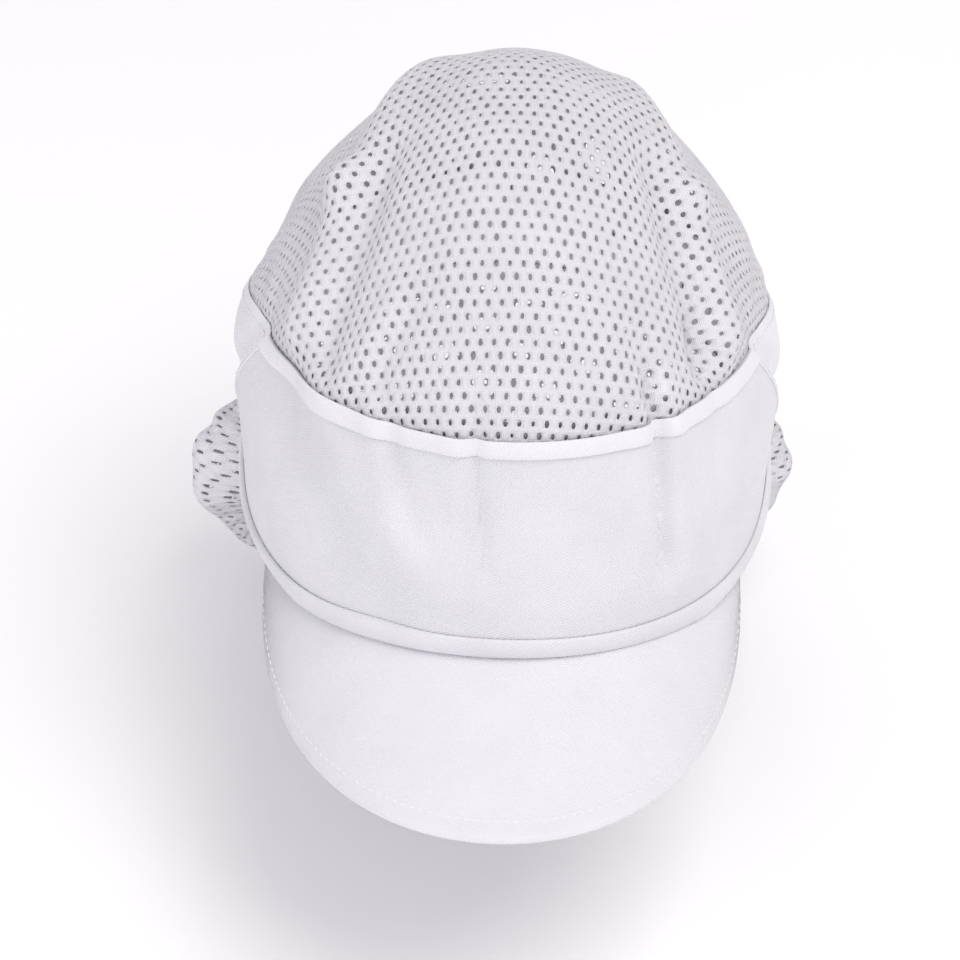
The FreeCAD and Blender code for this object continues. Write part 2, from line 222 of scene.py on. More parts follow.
def band_folds(t, z):
    """How far the band's cloth stands proud of the form, in mm."""
    side = smooth(58, 74, abs(t))
    nape = smooth(128, 136, abs(t))
    front = 1 - side
    d = 0.5 * band_noise.at(t, z)[..., 0] * (1 - nape) + 0.12 * ply_noise.at(t, z)[..., 0]
    # pleats that start at the crown seam of the front panel
    d = d - 2.6 * along(t, z, (33.5, 88), (30, 34), 1.6, 14)
    d = d + 1.7 * along(t, z, (37.5, 88), (34, 26), 3.0, 14)
    d = d + 0.9 * along(t, z, (29, 88), (26, 40), 3.0, 14)
    d = d - 1.7 * along(t, z, (-7.5, 88), (-4, 44), 1.5, 16)
    d = d + 0.9 * along(t, z, (-11, 88), (-8, 40), 3.0, 16)
    d = d - 1.1 * along(t, z, (-28, 84), (-17, 50), 2.4, 14)
    d = d + 0.8 * along(t, z, (-32, 86), (-22, 50), 3.4, 14)
    d = d - 0.8 * along(t, z, (52, 86), (46, 36), 2.2, 14)
    # broad hollow towards the lower right of the wearer and soft billows elsewhere
    d = d - 2.6 * front * along(t, z, (-56, 62), (-24, 22), 9, 16)
    d = d + 1.7 * front * along(t, z, (-44, 70), (-12, 34), 8, 16)
    d = d + 1.0 * front * bump(t, 14, 11) * bump(z, 44, 22)
    # side bands belly out between their seams
    mid_side = bump(abs(t), 92, 17) * smooth(4, 26, z)
    d = d + (3.4 * (t < 0) + 2.0 * (t > 0)) * mid_side * bump(z, 46, 24)
    d = d - 1.8 * side * along(abs(t), z, (76, 66), (94, 22), 3.2, 10)
    # the elastic gathers the nape
    ribs = np.sin(t * 1.15 + 2.2 * band_noise.at(t * 1.7, z * 0.3)[..., 0])
    d = d + 1.0 * nape * ribs * bump(z, 19, 16)
    return FOLD * d * smooth(-2, 8, z)


def unit(v):
    return v / np.maximum(np.linalg.norm(v, axis=-1, keepdims=True), 1e-9)


def band_normal(t, z):
    across = band_base(t + 1, z) - band_base(t - 1, z)
    up = band_base(t, z + 1) - band_base(t, z - 1)
    return unit(np.cross(across, up))


def band(t, z, depth, extra=0.0):
    """A point of the band at a depth under its outer face, folds included."""
    t, z = np.asarray(t, float), np.asarray(z, float)
    proud = band_folds(t, z) + extra - depth
    return band_base(t, z) + band_normal(t, z) * proud[..., None]


# ---------------------------------------------------------------- crown: form over a fan of rays
class Fan:
    """A form read along a fan of rays, laid out by length along its middle line and across it."""

    def __init__(self, tree, centre, forward, a_low, a_high, b_high, p_high, step=2.5):
        self.step = step
        self.outward = -forward
        a = np.radians(np.arange(a_low, a_high + 0.1, 2.0))
        b = np.radians(np.arange(-b_high, b_high + 0.1, 2.0))
        aa, bb = np.meshgrid(a, b, indexing="ij")
        dirs = np.stack([np.sin(bb), forward * np.cos(bb) * np.cos(aa), np.cos(bb) * np.sin(aa)], -1)
        flat = dirs.reshape(-1, 3)
        feet = np.tile(centre, (len(flat), 1))
        rho = soften(fill(cast(tree, feet, flat, 280, 30).reshape(aa.shape)), 2)
        points = np.array(centre) + dirs * rho[..., None]
        middle = len(b) // 2
        run = np.linalg.norm(np.diff(points[:, middle], axis=0), axis=1)
        q = np.concatenate([[0], np.cumsum(run)])
        self.q_high = float(q[-1])
        self.p_high = p_high
        q_even = np.arange(0, self.q_high, step)
        p_even = np.arange(-p_high, p_high + 0.1, step)
        spread = np.zeros((len(a), len(p_even), 3))
        for i, line in enumerate(points):
            gap = np.linalg.norm(np.diff(line, axis=0), axis=1)
            p = np.concatenate([[0], np.cumsum(gap)])
            p -= p[middle]
            for c in range(3):
                spread[i, :, c] = np.interp(p_even, p, line[:, c])
        even = np.zeros((len(q_even), len(p_even), 3))
        for j in range(len(p_even)):
            for c in range(3):
                even[:, j, c] = np.interp(q_even, q, spread[:, j, c])
        self.q_even, self.p_even = q_even, p_even
        self.base = Field(even, 0, step, -p_high, step)
        self.shape = self.base

    def normal(self, q, p):
        along_q = self.shape.at(q + 1.2, p) - self.shape.at(q - 1.2, p)
        across = self.shape.at(q, p + 1.2) - self.shape.at(q, p - 1.2)
        return unit(np.cross(across, along_q))

    def at(self, q, p, depth):
        return self.shape.at(q, p) - self.normal(q, p) * np.asarray(depth)[..., None]


def settle(fan, start, pins, solid, slack, gravity, frames, pressure):
    """Lets a slack sheet settle over a solid form and returns where its points come to rest."""
    rows, cols = pins.shape
    index = np.arange(rows * cols).reshape(rows, cols)
    quads = np.stack([index[:-1, :-1], index[:-1, 1:], index[1:, 1:], index[1:, :-1]], -1).reshape(-1, 4)
    if fan.outward < 0:
        quads = quads[:, ::-1]
    mesh = bpy.data.meshes.new("settling")
    mesh.from_pydata((start.reshape(-1, 3) * MM).tolist(), [], quads.tolist())
    cloth_object = bpy.data.objects.new("settling", mesh)
    bpy.context.scene.collection.objects.link(cloth_object)
    group = cloth_object.vertex_groups.new(name="pins")
    group.add(index[pins].tolist(), 1.0, "REPLACE")
    under = bpy.data.meshes.new("under")
    under.from_pydata((solid.reshape(-1, 3) * MM).tolist(), [], quads.tolist())
    body = bpy.data.objects.new("under", under)
    bpy.context.scene.collection.objects.link(body)
    body.modifiers.new("hold", "COLLISION")
    body.collision.thickness_outer = 0.0006
    body.collision.thickness_inner = 0.004
    body.collision.cloth_friction = 8
    cloth = cloth_object.modifiers.new("cloth", "CLOTH")
    s = cloth.settings
    s.quality = 8
    s.mass = 0.12
    s.tension_stiffness = s.compression_stiffness = 22
    s.shear_stiffness = 6
    s.bending_stiffness = 0.35
    s.tension_damping = s.compression_damping = 10
    s.air_damping = 3
    s.vertex_group_mass = "pins"
    s.shrink_min = -slack
    s.shrink_max = -slack
    s.use_pressure = pressure > 0
    s.uniform_pressure_force = pressure
    cloth.collision_settings.distance_min = 0.0008
    cloth.collision_settings.use_self_collision = False
    scene = bpy.context.scene
    kept = tuple(scene.gravity)
    scene.gravity = gravity
    cloth.point_cache.frame_start, cloth.point_cache.frame_end = 1, frames
    for f in range(1, frames + 1):
        scene.frame_set(f)
    dg = bpy.context.evaluated_depsgraph_get()
    done = cloth_object.evaluated_get(dg).data
    rest = np.zeros(len(done.vertices) * 3)
    done.vertices.foreach_get("co", rest)
    scene.frame_set(1)
    scene.gravity = kept
    for o in (cloth_object, body):
        data = o.data
        bpy.data.objects.remove(o)
        bpy.data.meshes.remove(data)
    return rest.reshape(rows, cols, 3) / MM


crown = Fan(CAP_TREE, (0, 15, -10), -1, 38, 160, 78, 150)

crown_noise = noise_field(0, 300, -160, 160, 24)
crinkle_noise = noise_field(0, 300, -160, 160, 8)


CROWN_FOLDS = (
    # start (q, p), end (q, p), half width, height; p is positive to the wearer's left
    ((22, -88), (120, -62), 9, 5.5),
    ((24, -70), (120, -46), 7, -3.2),
    ((120, -62), (175, -30), 10, 3.5),
    ((30, 92), (120, 66), 7, 5.5),
    ((34, 76), (120, 50), 8, -4.0),
    ((120, 66), (175, 40), 9, 3.5),
    ((16, 50), (48, 43), 5.2, -2.2),
    ((16, 41), (52, 34), 5.4, 1.5),
    ((16, 59), (48, 53), 5.4, 1.5),
    ((22, 78), (62, 70), 4.0, -3.5),
    ((16, -66), (60, -40), 4.0, 1.8),
    ((16, -56), (56, -30), 4.0, -1.6),
    ((60, -20), (110, -6), 9, 1.2),
)


def crown_folds(q, p, over):
    """How far the crown's mesh stands proud of the form, in mm; over is the height above the seam."""
    d = 1.2 * crown_noise.at(q, p)[..., 0] + 0.22 * crinkle_noise.at(q, p)[..., 0]
    for start, end, width, height in CROWN_FOLDS:
        d = d + height * along(q, p, start, end, width, 14)
    # small gathers where the crown is eased into the seam
    gathers = np.sin(p * 0.62 + 2.5 * crown_noise.at(q * 0.3, p)[..., 0])
    d = d + 0.7 * gathers * bump(over, 5, 9) * smooth(8, 30, abs(p))
    return d


def shape_crown():
    q, p = np.meshgrid(crown.q_even, crown.p_even, indexing="ij")
    base = crown.base.at(q, p)
    normal = crown.normal(q, p)
    over = base[..., 2] - seam_z(base[..., 0], base[..., 1])
    t = np.degrees(np.arctan2(base[..., 0], -(base[..., 1] - AXIS_Y)))
    near = band_folds(t, base[..., 2]) * (1 - smooth(1, 20, over))
    proud = near + crown_folds(q, p, over) * smooth(0, 10, over)
    # the mesh dips under the band at the seam
    proud = proud - 0.3 - 1.0 * (1 - smooth(-1.0, 0.7, over))
    start = base + normal * proud[..., None]
    solid = base + normal * (np.minimum(proud, 0) - 3.2)[..., None]
    pins = over < 1.2
    start = settle(crown, start, pins, solid, 0.012, (0, -2.0, -2.3), 24, 0.35)
    crown.shape = Field(start, 0, crown.step, -crown.p_high, crown.step)


# ---------------------------------------------------------------- making meshes
def make(name, verts, faces, uv=None):
    """A smooth-shaded mesh object from points in mm."""
    mesh = bpy.data.meshes.new(name)
    mesh.from_pydata((np.asarray(verts) * MM).tolist(), [], [list(map(int, f)) for f in faces])
    mesh.update()
    mesh.polygons.foreach_set("use_smooth", [True] * len(mesh.polygons))
    if uv is not None:
        layer = mesh.uv_layers.new(name="cloth")
        corner = np.zeros(len(mesh.loops), int)
        mesh.loops.foreach_get("vertex_index", corner)
        layer.data.foreach_set("uv", np.asarray(uv, float)[corner].ravel())
    obj = bpy.data.objects.new(name, mesh)
    bpy.context.scene.collection.objects.link(obj)
    return obj


def eased(length, pitch, lip):
    """Places from 0 to 1, close together over the rounded rim at both ends."""
    ends = np.array([0, 0.1, 0.35, 0.7, 1.0]) * lip
    inner = np.linspace(lip, length - lip, max(2, int(round((length - 2 * lip) / pitch)) + 1))
    return np.concatenate([ends[:-1], inner, (length - ends[:-1])[::-1]]) / length


def cloth_sheet(name, place, u_long, v_long, face, back, pitch=2.0, lip=None, v_pitch=None):
    """A sheet of real thickness with rounded rims. place(u, v, depth) gives points in mm."""
    lip = lip or max((back - face) / 2, 0.25)
    us, vs = eased(u_long, pitch, lip), eased(v_long, v_pitch or pitch, lip)
    u, v = np.meshgrid(us, vs, indexing="ij")
    edge = np.minimum(np.minimum(u, 1 - u) * u_long, np.minimum(v, 1 - v) * v_long)
    full = np.sqrt(np.clip(1 - (1 - np.clip(edge / lip, 0, 1)) ** 2, 0, 1))
    middle, half = (face + back) / 2, (back - face) / 2
    outer, inner = place(u, v, middle - half * full), place(u, v, middle + half * full)
    rows, cols = u.shape
    index = np.arange(rows * cols).reshape(rows, cols)
    rim = np.zeros((rows, cols), bool)
    rim[[0, -1], :] = True
    rim[:, [0, -1]] = True
    back_index = np.where(rim, index, 0)
    back_index[~rim] = rows * cols + np.arange((~rim).sum())
    verts = np.concatenate([outer.reshape(-1, 3), inner[~rim]])
    uv = np.stack([u * u_long, v * v_long], -1)
    uvs = np.concatenate([uv.reshape(-1, 2), uv[~rim]])

    def quads(ix, flip):
        a, b, c, d = ix[:-1, :-1], ix[1:, :-1], ix[1:, 1:], ix[:-1, 1:]
        order = (a, b, c, d) if not flip else (d, c, b, a)
        return np.stack(order, -1).reshape(-1, 4)

    return make(name, verts, np.concatenate([quads(index, False), quads(back_index, True)]), uvs)


HOLE_TURN = np.radians(np.arange(8) * 45.0)


MESH_P, MESH_Q = 4.2, 4.1     # pitch of the mesh's holes across and along the cloth
MESH_THICK = 0.5
SIZE_SPREAD = 0.12            # how unevenly the holes are knitted
ROW_KEY = 10000               # keeps the corners of one row of cells apart from the next


def lattice(name, fan, hole_p, hole_q, keep):
    """Knitted mesh as cloth of real thickness: brick-laid cells, each with an oval hole."""
    p_pitch, q_pitch = MESH_P, MESH_Q
    rows = int(fan.q_high / q_pitch)
    cols = int(2 * fan.p_high / p_pitch) - 1
    j, i = [g.ravel() for g in np.meshgrid(np.arange(rows), np.arange(cols), indexing="ij")]
    k = 2 * i + j % 2
    qc = (j + 0.5) * q_pitch
    pc = -fan.p_high + (k / 2 + 0.5) * p_pitch
    held = keep(fan.base.at(qc, pc))
    j, k, qc, pc = j[held], k[held], qc[held], pc[held]
    corner_k = np.stack([k, k + 1, k + 2, k + 2, k + 1, k], 1)
    corner_j = np.stack([j, j, j, j + 1, j + 1, j + 1], 1)
    keys = corner_j * ROW_KEY + corner_k
    unique, inverse = np.unique(keys, return_inverse=True)
    inverse = inverse.reshape(keys.shape)
    q_out = (unique // ROW_KEY) * q_pitch
    p_out = -fan.p_high + (unique % ROW_KEY) / 2 * p_pitch
    size = 1 + SIZE_SPREAD * rng.normal(0, 1, (len(qc), 1))
    q_in = qc[:, None] + hole_q * size * np.sin(HOLE_TURN)
    p_in = pc[:, None] + hole_p * size * np.cos(HOLE_TURN)
    n_out, n_in = len(unique), q_in.size
    q_all = np.concatenate([q_out, q_in.ravel()])
    p_all = np.concatenate([p_out, p_in.ravel()])
    low = np.concatenate([np.zeros(n_out), np.full(n_in, 0.1)])
    top = fan.at(q_all, p_all, low)
    under = fan.at(q_all, p_all, MESH_THICK - low * 0.6)
    ring = n_out + np.arange(n_in).reshape(-1, 8)
    bl, bm, br, tr, tm, tl = inverse.T
    r0, r45, r90, r135, r180, r225, r270, r315 = ring.T
    quad_sets = [(bl, bm, r270, r225), (bm, br, r315, r270), (tr, tm, r90, r45), (tm, tl, r135, r90)]
    tri_sets = [(br, r0, r315), (br, tr, r0), (tr, r45, r0), (tl, r180, r135), (tl, bl, r180),
                (bl, r225, r180)]
    total = n_out + n_in
    faces = []
    for group in quad_sets + tri_sets:
        block = np.stack(group, 1)
        faces += block.tolist()
        faces += (block[:, ::-1] + total).tolist()
    for m in range(8):
        a, b = ring[:, m], ring[:, (m + 1) % 8]
        faces += np.stack([a, b, b + total, a + total], 1).tolist()
    # close the cut edge of the cloth all round
    edges = {}
    for cell in inverse:
        for a, b in zip(cell, np.roll(cell, -1)):
            key = (min(a, b), max(a, b))
            edges[key] = None if key in edges else (a, b)
    for pair in edges.values():
        if pair is not None:
            a, b = pair
            faces.append([b, a, a + total, b + total])
    uv = np.stack([np.tile(p_all, 2), np.tile(q_all, 2)], 1)
    return make(name, np.concatenate([top, under]), faces, uv)


def stitches(name, lines, long=2.3, gap=1.1, half_wide=0.32, half_high=0.22):
    """Sewing thread: each stitch is a small flattened bead of thread along a line on the cloth."""
    verts, faces = [], []
    turn = np.radians(np.arange(6) * 60)
    reach = np.array([-1, -0.86, -0.45, 0.45, 0.86, 1])
    girth = np.array([0.05, 0.6, 1, 1, 0.6, 0.05])
    for path, up in lines:
        run = np.concatenate([[0], np.cumsum(np.linalg.norm(np.diff(path, axis=0), axis=1))])
        count = int(run[-1] // (long + gap))
        for n in range(count):
            mid = (n + 0.5) * run[-1] / count
            ends = [np.array([np.interp(mid + s * long / 2, run, path[:, c]) for c in range(3)])
                    for s in (-1, 1)]
            rise = unit(np.array([np.interp(mid, run, up[:, c]) for c in range(3)]))
            centre, way = (ends[0] + ends[1]) / 2, unit(ends[1] - ends[0])
            side = unit(np.cross(way, rise))
            base = len(verts)
            for s, g in zip(reach, girth):
                sag = -0.18 * s * s
                for a in turn:
                    lift = half_high * (0.6 + sag) + half_high * g * math.sin(a)
                    verts.append(centre + way * s * long / 2 + rise * lift
                                 + side * half_wide * g * math.cos(a))
            for r in range(5):
                for m in range(6):
                    a, b = base + 6 * r + m, base + 6 * r + (m + 1) % 6
                    faces.append([a, a + 6, b + 6, b])
            faces.append([base + m for m in range(6)])
            faces.append([base + 30 + m for m in reversed(range(6))])
    return make(name, np.array(verts), faces)


def line_on(place, us, vs, depth):
    """A path on a sheet and the way out of the cloth along it."""
    us, vs = np.broadcast_arrays(np.asarray(us, float), np.asarray(vs, float))
    top = place(us, vs, np.full(us.shape, depth))
    low = place(us, vs, np.full(us.shape, depth + 0.5))
    return top, unit(top - low)


# ---------------------------------------------------------------- materials
def fabric(name, colour, roughness=0.85, sheen=0.3, weave=None, mottle=0.04):
    """A procedural cloth: gentle colour variation, a woven relief and a soft sheen."""
    mat = bpy.data.materials.new(name)
    mat.use_nodes = True
    nodes, links = mat.node_tree.nodes, mat.node_tree.links
    shader = nodes["Principled BSDF"]
    shader.inputs["Roughness"].default_value = roughness
    shader.inputs["Sheen Weight"].default_value = sheen
    shader.inputs["Sheen Roughness"].default_value = 0.5
    shader.inputs["Base Color"].default_value = (*colour, 1)
    uv = nodes.new("ShaderNodeUVMap")
    uv.uv_map = "cloth"
    place = nodes.new("ShaderNodeTexCoord")
    cloud = nodes.new("ShaderNodeTexNoise")
    cloud.inputs["Scale"].default_value = 55
    cloud.inputs["Detail"].default_value = 4
    links.new(place.outputs["Object"], cloud.inputs["Vector"])
    ramp = nodes.new("ShaderNodeValToRGB")
    ramp.color_ramp.elements[0].position = 0.3
    ramp.color_ramp.elements[0].color = (*[c * (1 - mottle) for c in colour], 1)
    ramp.color_ramp.elements[1].position = 0.7
    ramp.color_ramp.elements[1].color = (*[min(1, c * (1 + mottle / 3)) for c in colour], 1)
    links.new(cloud.outputs["Fac"], ramp.inputs["Fac"])
    links.new(ramp.outputs["Color"], shader.inputs["Base Color"])
    relief = None
    for kind, turn, scale, distortion, height in weave or ():
        spin = nodes.new("ShaderNodeMapping")
        spin.inputs["Rotation"].default_value = (0, 0, math.radians(turn))
        links.new(uv.outputs["UV"], spin.inputs["Vector"])
        if kind == "bands":
            tex = nodes.new("ShaderNodeTexWave")
            tex.inputs["Distortion"].default_value = distortion
            tex.inputs["Detail"].default_value = 1
        else:
            tex = nodes.new("ShaderNodeTexNoise")
            tex.inputs["Detail"].default_value = 3
        tex.inputs["Scale"].default_value = scale
        links.new(spin.outputs["Vector"], tex.inputs["Vector"])
        lift = nodes.new("ShaderNodeBump")
        lift.inputs["Strength"].default_value = 1
        lift.inputs["Distance"].default_value = height * MM
        links.new(tex.outputs["Fac"], lift.inputs["Height"])
        if relief is not None:
            links.new(relief.outputs["Normal"], lift.inputs["Normal"])
        relief = lift
    if relief is not None:
        links.new(relief.outputs["Normal"], shader.inputs["Normal"])
    return mat


WHITE = (0.745, 0.74, 0.77)
# the front panel and its seam roll get a darker copy of the same white twill: painted shade, set in the
# colour to tone down how brightly the lamps light them
PANEL_WHITE_PAINTED_SHADE = (0.70, 0.695, 0.725)
# the folded hem strip at the panel's top gets a lighter copy of the same twill: painted highlight where the
# fold catches the light
FOLDED_WHITE_PAINTED_HIGHLIGHT = (0.765, 0.76, 0.79)
LILAC = (0.84, 0.83, 0.87)
TWILL_WEAVE = (("bands", 58, 0.42, 0.6, 0.10), ("bands", -32, 0.42, 0.4, 0.03), ("noise", 0, 0.35, 0, 0.12))
PLAIN_WEAVE = (("bands", 0, 0.5, 0.3, 0.05), ("bands", 90, 0.5, 0.3, 0.05))
KNIT_WEAVE = (("bands", 0, 0.76, 0.5, 0.16), ("bands", 90, 0.62, 0.8, 0.07), ("noise", 0, 0.9, 0, 0.08))
TAPE_WEAVE = (("bands", 45, 0.6, 0, 0.08), ("bands", -45, 0.6, 0, 0.08))
MATS = {
    "twill": fabric("twill_white", WHITE, 0.82, 0.35, TWILL_WEAVE, 0.045),
    # painted shade: the darker copy of the twill for the front panel and its roll
    "panel_twill_painted_shade": fabric("panel_twill_white_painted_shade", PANEL_WHITE_PAINTED_SHADE, 0.82, 0.3, TWILL_WEAVE, 0.045),
    # painted highlight: the lighter copy of the twill for the folded hem
    "folded_twill_painted_highlight": fabric("folded_twill_white_painted_highlight", FOLDED_WHITE_PAINTED_HIGHLIGHT, 0.82, 0.4, TWILL_WEAVE, 0.03),
    "peak_twill": fabric("peak_twill_white", WHITE, 0.78, 0.35, TWILL_WEAVE, 0.03),
    "lining": fabric("lining_white", (0.78, 0.78, 0.82), 0.9, 0.2, PLAIN_WEAVE, 0.05),
    "interlining": fabric("interlining_cream", (0.74, 0.74, 0.74), 0.95, 0.1,
                          (("noise", 0, 0.8, 0, 0.2),), 0.08),
    "mesh": fabric("mesh_white", LILAC, 0.75, 0.35, KNIT_WEAVE, 0.05),
    "mesh_hem": fabric("mesh_hem_white", WHITE, 0.8, 0.3, KNIT_WEAVE, 0.05),
    "tape": fabric("tape_white", WHITE, 0.8, 0.3, TAPE_WEAVE, 0.04),
    "sweatband": fabric("sweatband_terry", (0.8, 0.8, 0.82), 0.95, 0.4,
                        (("noise", 0, 0.7, 0, 0.4), ("noise", 30, 1.6, 0, 0.2)), 0.06),
    "elastic": fabric("elastic_white", (0.8, 0.8, 0.8), 0.7, 0.2, (("bands", 90, 0.35, 0, 0.25),), 0.04),
    "thread": fabric("thread_white", (0.79, 0.785, 0.815), 0.6, 0.3, None, 0.03),
    "label": fabric("label_satin", (0.84, 0.84, 0.84), 0.45, 0.2, (("bands", 90, 0.7, 0, 0.03),), 0.02),
    "board": fabric("board_grey", (0.55, 0.56, 0.55), 0.6, 0.0, (("noise", 0, 0.3, 0, 0.1),), 0.05),
}


def dress(obj, slot, body, *nodes, look=None):
    """Gives a piece its material, picked by its slot or look, hides the CAD nodes it replaces, and hangs it
    on the cap's body when its body is the cap.
    """
    obj.data.materials.clear()
    obj.data.materials.append(MATS[look or slot])
    if nodes:
        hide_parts(*nodes)
    if body == "cap":
        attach(obj, "cap")
    return obj


# ---------------------------------------------------------------- front panel, its hem and roll
def front_half_angle(z):
    """Plan angle at which the slanted side seam crosses a height."""
    angles = np.arange(60, 130, 1.0)
    z = np.asarray(z, float)
    flat = z.ravel()
    found = np.zeros(len(flat))
    for n, height in enumerate(flat):
        y = band_base(angles, np.full(len(angles), height))[:, 1]
        found[n] = np.interp(SEAM_FOOT_Y - SEAM_LEAN * height, y, angles)
    return found.reshape(z.shape)


heights = np.arange(0, 90, 3.0)
seam_angles = front_half_angle(heights)


def panel_place(low, high, inset=0.12):
    """Layout of a piece of the front panel between two height rules, each a function of x and y."""
    def place(u, v, depth):
        guess = np.full(u.shape, 40.0)
        t = (u * 2 - 1) * 90
        for _ in range(3):
            half = np.interp(guess, heights, seam_angles) - inset
            t = (u * 2 - 1) * half
            at = band_base(t, guess)
            bottom, top = low(at[..., 0], at[..., 1]), high(at[..., 0], at[..., 1])
            guess = bottom + (top - bottom) * v
        return band(t, guess, depth)
    return place


def panel_foot(rise):
    def rule(x, y):
        return np.maximum(arch_z(x, y, rise), 0.3)
    return rule


def panel_head(drop):
    def rule(x, y):
        return PANEL_TOP - x**2 / (2 * ARC_RADIUS) - drop
    return rule


def front_pieces():
    long = 215
    made = {}
    made["outer"] = cloth_sheet("front_panel_twill", panel_place(panel_foot(0.8), panel_head(0.3)),
                                long, 72, 0.0, 0.9, 1.7)
    made["core"] = cloth_sheet("front_panel_stiffener", panel_place(panel_foot(1.5), panel_head(5), 1.2),
                               long, 66, 1.0, 1.7, 3.0)
    made["lining"] = cloth_sheet("front_panel_inside", panel_place(panel_foot(1.0), panel_head(4), 0.4),
                                 long, 68, 1.82, 2.4, 3.0)

    def strip(u, v, depth):
        wave = 0.25 * ply_noise.at(u * 300 - 150, 40 + 0 * u)[..., 0]
        puff = 0.35 * np.sin(math.pi * v) ** 0.7 * (depth < -0.3)
        return panel_place(panel_head(5.4), panel_head(0.05))(u, v + 0.02 * wave, depth - puff - 0.06)

    made["hem"] = cloth_sheet("front_hem_fold", strip, long, 5.2, -0.8, -0.05, 1.5, 0.36, 0.8)

    def roll(u, v, depth):
        fat = 0.8 * np.sin(math.pi * v) ** 0.8 * (depth < -0.6)
        wave = 0.2 * ply_noise.at(u * 300 - 150, 10 + 0 * u)[..., 0]
        raised = depth - fat - wave * np.sin(math.pi * v)
        return panel_place(panel_foot(0.12), panel_foot(6.0))(u, v, raised)

    made["roll"] = cloth_sheet("front_seam_roll", roll, long, 5.6, -1.25, -0.06, 1.5, 0.5, 0.7)
    # the front panel and its roll wear the darker copy of the twill, which is painted shade
    dress(made["outer"], "twill", "cap", "front_panel_outer", look="panel_twill_painted_shade")
    dress(made["core"], "interlining", "cap", "front_panel_interlining")
    dress(made["lining"], "lining", "cap", "front_panel_lining")
    # the hem wears the lighter copy of the twill, which is painted highlight
    dress(made["hem"], "twill", "cap", "front_hem_strip", look="folded_twill_painted_highlight")
    dress(made["roll"], "twill", "cap", "front_lower_roll", look="panel_twill_painted_shade")


# ---------------------------------------------------------------- side bands and nape
def side_place(sign, drop=0.0, ahead=0.0, foot=0.3):
    """Layout of one side band: from the front panel's slanted seam back to the nape."""
    def place(u, v, depth):
        guess = np.full(u.shape, 30.0)
        for _ in range(4):
            start = np.interp(guess, heights, seam_angles) - ahead
            angles = np.arange(60, 165, 1.5)
            y = band_base(angles, np.full(len(angles), 20.0))[:, 1]
            stop = np.interp(NAPE_Y - 0.3, y, angles)
            t = start + (stop - start) * u
            at = band_base(t, guess)
            guess = foot + (seam_z(at[..., 0], at[..., 1]) - drop - foot) * v
        rise = 0.55 * (1 - smooth(0, 0.05, u)) * (ahead > 0)
        return band(sign * t, guess, depth - rise)
    return place


def flipped(place):
    """The same layout run the other way, so that its outside stays outside."""
    return lambda u, v, depth: place(1 - u, v, depth)


def side_pieces():
    for side, sign in (("left", 1), ("right", -1)):
        turn = (lambda f: f) if sign > 0 else flipped
        outer = cloth_sheet(f"side_band_{side}_twill", turn(side_place(sign, 0.2, 1.2)),
                            84, 55, 0.0, 0.9, 1.7)
        lining = cloth_sheet(f"side_band_{side}_inside", turn(side_place(sign, 4.0)),
                             82, 51, 1.8, 2.4, 3.0)
        dress(outer, "twill", "cap", f"side_band_{side}")
        dress(lining, "lining", "cap", f"side_lining_{side}")


def nape_angle():
    angles = np.arange(90, 179, 1.0)
    y = band_base(angles, np.full(len(angles), 20.0))[:, 1]
    return float(np.interp(NAPE_Y + 0.2, y, angles))


NAPE_T = nape_angle()


def nape_place(low, high, inset=0.0):
    def place(u, v, depth):
        t = 180 + (u * 2 - 1) * (180 - NAPE_T - inset)
        return band(np.where(t > 180, t - 360, t), low + (high - low) * v, depth)
    return place


def nape_pieces():
    outer = cloth_sheet("nape_casing_outside", nape_place(0.3, NAPE_TOP - 0.2), 165, 39.5, 0.0, 0.9, 1.3)
    inner = cloth_sheet("nape_casing_inside", nape_place(0.3, NAPE_TOP - 4), 165, 35.5, 1.8, 2.4, 2.0)
    elastic = cloth_sheet("nape_elastic_band", nape_place(7, 31, 0.6), 163, 24, 1.0, 1.7, 1.6)
    dress(outer, "twill", "cap", "nape_casing")
    dress(inner, "lining", "cap")
    dress(elastic, "elastic", "cap", "nape_elastic")


# ---------------------------------------------------------------- seam tapes, sweatband, label
def ring_place(t_from, t_to, z_low, z_high):
    def place(u, v, depth):
        t = t_from + (t_to - t_from) * u
        at = band_base(t, 30 + 0 * t)
        low = z_low(at) if callable(z_low) else z_low
        high = z_high(at) if callable(z_high) else z_high
        return band(t, low + (high - low) * v, depth)
    return place


